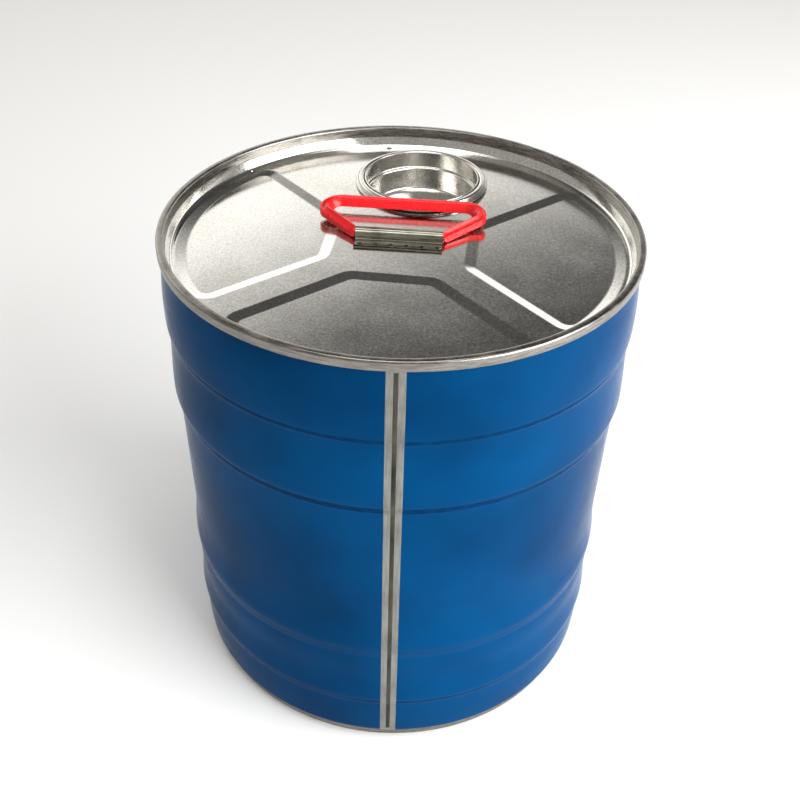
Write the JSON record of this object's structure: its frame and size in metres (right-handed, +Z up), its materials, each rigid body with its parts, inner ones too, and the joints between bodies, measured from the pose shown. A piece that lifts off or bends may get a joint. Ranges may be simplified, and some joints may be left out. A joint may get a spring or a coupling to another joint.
{
  "type": "paint can",
  "caption": "Tight-head sheet metal paint can with a beaded blue wall, welded side seam, seamed ends, press-in closure and folding loop handle.",
  "frame": {"origin": "centre of the base, on the plane the bottom seam stands on", "axes": "+Z up the can's axis, +X along the handle's hinge, +Y from the hinge towards the closure"},
  "size_m": [0.29, 0.29, 0.315],
  "materials": {
    "blue_lacquer": "gloss",
    "tinplate": "bright, fine grain",
    "bright_tin": "polished",
    "clip_steel": "dull",
    "weld": "heat-darkened",
    "compound": "matt",
    "red_plastic": "satin gloss"
  },
  "bodies": {
    "can": {"body_shell": "blue_lacquer", "side_seam_weld": "weld", "top_end": "tinplate", "top_seam_compound": "compound", "bottom_end": "tinplate", "bottom_seam_compound": "compound", "closure_neck": "bright_tin", "closure_gasket": "compound", "handle_clip": "clip_steel", "spot_weld_1": "weld", "spot_weld_2": "weld", "spot_weld_3": "weld", "spot_weld_4": "weld", "spot_weld_5": "weld", "spot_weld_6": "weld"},
    "plug": {"closure_plug": "bright_tin"},
    "handle": {"handle": "red_plastic"}
  },
  "joints": [
    {"name": "plug_lift", "type": "slide", "parent": "can", "child": "plug", "axis": [0, 0, 1], "range_m": [0, 0.04]},
    {"name": "handle_swing", "type": "hinge", "parent": "can", "child": "handle", "pos_m": [-0.0014, 0.0019, 0.306], "axis": [1, 0, 0], "range_deg": [0, 168]}
  ]
}
